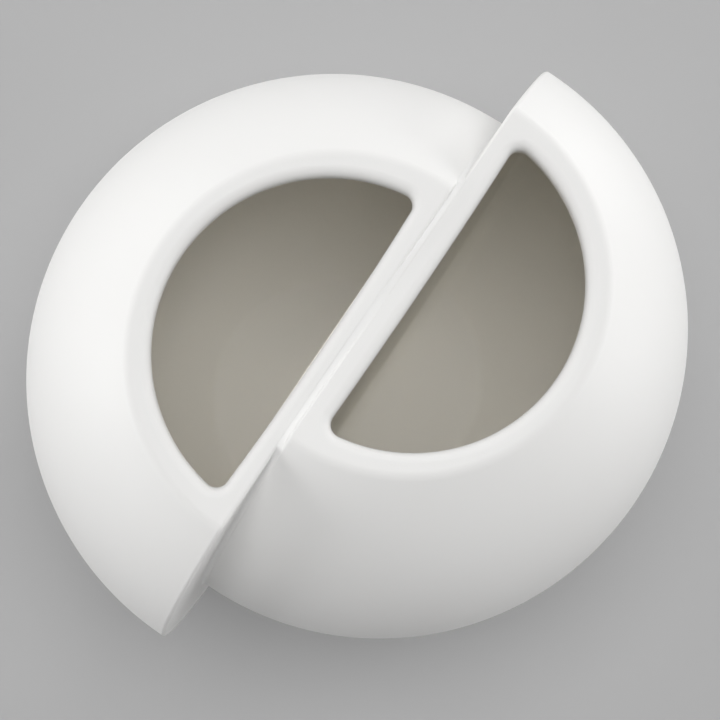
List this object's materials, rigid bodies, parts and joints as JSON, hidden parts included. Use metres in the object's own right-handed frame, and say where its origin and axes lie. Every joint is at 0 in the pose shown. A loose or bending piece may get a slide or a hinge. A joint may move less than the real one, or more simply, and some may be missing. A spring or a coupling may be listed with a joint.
{
  "type": "hanging wall vase",
  "caption": "Round white porcelain wall vase parted by an upright joint, its halves slid along each other, each a closed vessel with a D-shaped mouth in a flat rim.",
  "frame": {"origin": "middle of the flat back, on the plane that lies on the wall or the table, midway between the two halves", "axes": "+Z out of the mouths and away from the back; +X along the joint towards the right half's far end; +Y away from the joint into the left half. Hung as pictured, up the wall is 33.3 degrees from +X towards +Y."},
  "size_m": [0.2208, 0.2036, 0.1754],
  "materials": {
    "porcelain": "smooth satin white, unglazed look with a soft sheen",
    "joint_slip": "smooth satin white slip, sponged flush"
  },
  "bodies": {
    "root": {"left_shell": "porcelain", "left_rim": "porcelain", "left_divider": "porcelain", "left_base": "porcelain", "right_shell": "porcelain", "right_rim": "porcelain", "right_divider": "porcelain", "right_base": "porcelain", "slip_joint": "joint_slip"}
  },
  "joints": []
}
